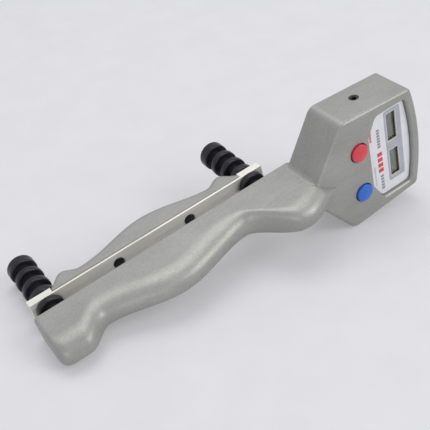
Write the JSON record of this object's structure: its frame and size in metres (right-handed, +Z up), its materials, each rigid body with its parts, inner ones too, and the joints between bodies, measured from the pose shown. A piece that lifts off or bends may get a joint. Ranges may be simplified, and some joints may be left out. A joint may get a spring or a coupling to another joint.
{
  "type": "hand-grip dynamometer",
  "caption": "Hand-grip strength gauge with a digital display head, palm-shaped handle, grooved posts and a lift-off contoured finger bar.",
  "frame": {"origin": "centre of the footprint, at the level of the surface it lies on", "axes": "+X along the handle towards the head, +Y from the handle towards the finger bar, +Z up; the display looks towards -Y"},
  "size_m": [0.2272, 0.09, 0.0743],
  "materials": {
    "blasted_alloy": "bead-blasted, satin",
    "cover_alloy": "bead-blasted, satin",
    "machined_alloy": "bright machined",
    "load_cell_alloy": "fine machined",
    "black_post": "glossy black",
    "black_steel": "blackened",
    "label_plate": "satin pale grey",
    "clear_lens": "clear",
    "display_cell": "grey-green display",
    "red_button": "satin red",
    "blue_button": "satin blue",
    "circuit_board": "green laminate",
    "black_plastic": "matte black",
    "cell_jacket": "printed jacket, plain",
    "gauge_film": "amber film",
    "cable_sheath": "matte"
  },
  "bodies": {
    "housing": {"main_body": "blasted_alloy", "head_back_cover": "cover_alloy", "handle_back_strip": "cover_alloy", "load_cell_lower": "load_cell_alloy", "load_cell_upper": "load_cell_alloy", "post_lower": "black_post", "post_upper": "black_post", "head_cover_screw_1": "black_steel", "head_cover_screw_2": "black_steel", "head_cover_screw_3": "black_steel", "head_cover_screw_4": "black_steel", "strip_screw_1": "black_steel", "strip_screw_2": "black_steel", "strip_screw_3": "black_steel", "strip_screw_4": "black_steel", "board_screw_1": "black_steel", "board_screw_2": "black_steel", "board_screw_3": "black_steel", "board_screw_4": "black_steel", "anchor_screw_lower": "black_steel", "anchor_screw_upper": "black_steel", "display_panel": "label_plate", "lens_force": "clear_lens", "lens_time": "clear_lens", "lcd_force": "display_cell", "lcd_time": "display_cell", "circuit_board": "circuit_board", "reset_switch": "black_plastic", "mode_switch": "black_plastic", "controller_chip": "black_plastic", "sounder": "black_plastic", "battery_holder": "black_plastic", "data_socket": "black_plastic", "battery_cell_1": "cell_jacket", "battery_cell_2": "cell_jacket", "strain_gauge_lower_1": "gauge_film", "strain_gauge_lower_2": "gauge_film", "strain_gauge_upper_1": "gauge_film", "strain_gauge_upper_2": "gauge_film", "signal_cable": "cable_sheath"},
    "reset_button": {"reset_button": "red_button"},
    "mode_button": {"mode_button": "blue_button"},
    "finger_bar": {"grip_bar": "machined_alloy", "finger_grip": "blasted_alloy", "grip_screw_1": "black_steel", "grip_screw_2": "black_steel"}
  },
  "joints": [
    {"name": "reset_press", "type": "slide", "parent": "housing", "child": "reset_button", "axis": [0, 1, 0], "range_m": [0, 0.0012], "stiffness_N_per_m": 400},
    {"name": "mode_press", "type": "slide", "parent": "housing", "child": "mode_button", "axis": [0, 1, 0], "range_m": [0, 0.0012], "stiffness_N_per_m": 400},
    {"name": "bar_lift", "type": "slide", "parent": "housing", "child": "finger_bar", "axis": [-0.1552, 0, 0.9879], "range_m": [0, 0.02]}
  ]
}
